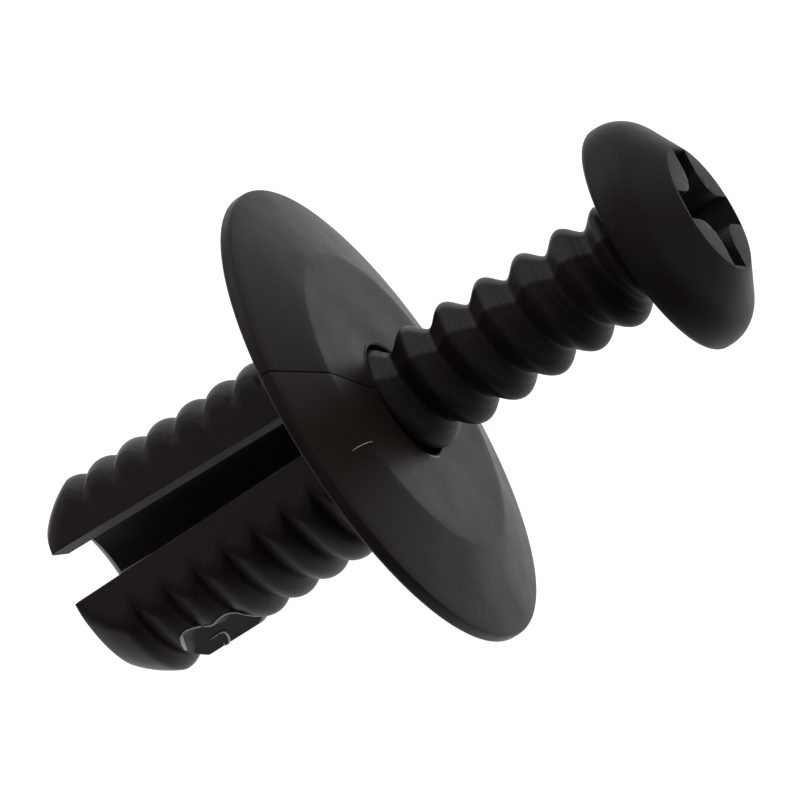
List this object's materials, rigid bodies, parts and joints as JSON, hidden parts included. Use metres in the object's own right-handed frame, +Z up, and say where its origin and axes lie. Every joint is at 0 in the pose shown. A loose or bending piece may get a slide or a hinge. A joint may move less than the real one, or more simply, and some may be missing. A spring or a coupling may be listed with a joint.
{
  "type": "screw rivet",
  "caption": "Moulded plastic trim clip: a flanged grommet with a split ribbed shank that a coarse-threaded, cross-recessed screw spreads in a panel hole.",
  "frame": {"origin": "centre of the clip's axis on the flange's seating face", "axes": "+Z up and +X forward: the clip lies on its rim and its leg tips, with its axis in the XZ plane and the screw head raised towards +X"},
  "size_m": [0.0285, 0.02, 0.0197],
  "materials": {
    "grommet_plastic": "black moulded plastic, fine satin grain",
    "screw_plastic": "black moulded plastic, satin"
  },
  "bodies": {
    "grommet_body": {"grommet": "grommet_plastic"},
    "screw_body": {"drive_screw": "screw_plastic"}
  },
  "joints": [
    {"name": "screw_drive", "type": "slide", "parent": "grommet_body", "child": "screw_body", "axis": [0.8878, 0, 0.4602], "range_m": [-0.01175, 0.004]}
  ]
}
